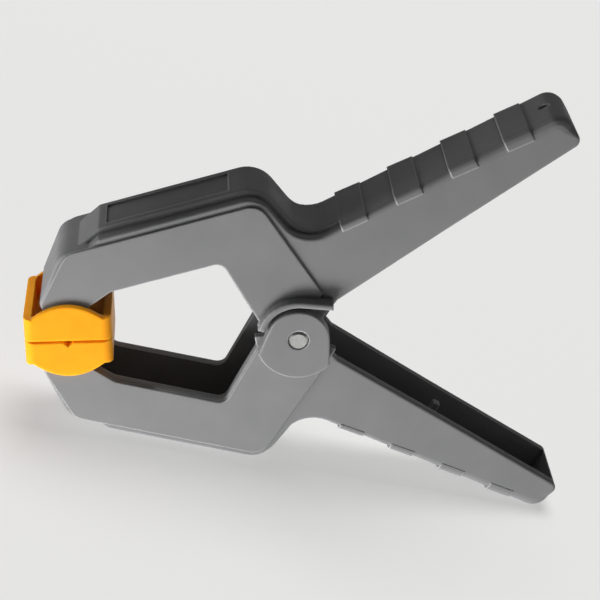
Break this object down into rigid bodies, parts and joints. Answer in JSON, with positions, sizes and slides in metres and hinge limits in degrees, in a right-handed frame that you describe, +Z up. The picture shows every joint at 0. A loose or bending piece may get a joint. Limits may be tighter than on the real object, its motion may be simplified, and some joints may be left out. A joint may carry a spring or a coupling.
{
  "type": "hand spring clamp",
  "caption": "Moulded plastic hand spring clamp with crossed channel arms, a sprung pivot and swivelling jaw pads, for holding workpieces together.",
  "frame": {"origin": "centre of the box's bottom, on the surface the clamp stands on", "axes": "+X from the jaws towards the handles, +Y along the pivot pin, +Z up"},
  "size_m": [0.2388, 0.0502, 0.1783],
  "materials": {
    "grey_plastic": "fine moulded texture",
    "orange_plastic": "satin",
    "bright_steel": "turned",
    "black_plastic": "satin",
    "spring_steel": "oiled"
  },
  "bodies": {
    "lower_arm": {"lower_arm": "grey_plastic", "pivot_pin": "bright_steel", "spring_sleeve": "black_plastic", "torsion_spring": "spring_steel", "lower_pad_pin": "bright_steel"},
    "upper_arm": {"upper_arm": "grey_plastic", "upper_pad_pin": "bright_steel"},
    "upper_jaw_pad": {"upper_jaw_pad": "orange_plastic"},
    "lower_jaw_pad": {"lower_jaw_pad": "orange_plastic"}
  },
  "joints": [
    {"name": "jaw_open", "type": "hinge", "parent": "lower_arm", "child": "upper_arm", "pos_m": [-0.00849, 0, 0.06546], "axis": [0, 1, 0], "range_deg": [0, 45], "stiffness_Nm_per_rad": 4, "springref_deg": -40.11, "deforming": ["torsion_spring"]},
    {"name": "upper_pad_swivel", "type": "hinge", "parent": "upper_arm", "child": "upper_jaw_pad", "pos_m": [-0.102, 0, 0.05419], "axis": [0, 1, 0], "range_deg": [-22.5, 0]},
    {"name": "lower_pad_swivel", "type": "hinge", "parent": "lower_arm", "child": "lower_jaw_pad", "pos_m": [-0.09718, 0, 0.03375], "axis": [0, 1, 0], "range_deg": [0, 22.5]}
  ],
  "couplings": [
    {"joint": "upper_pad_swivel", "follows": "jaw_open", "ratio": -0.5},
    {"joint": "lower_pad_swivel", "follows": "jaw_open", "ratio": 0.5}
  ]
}
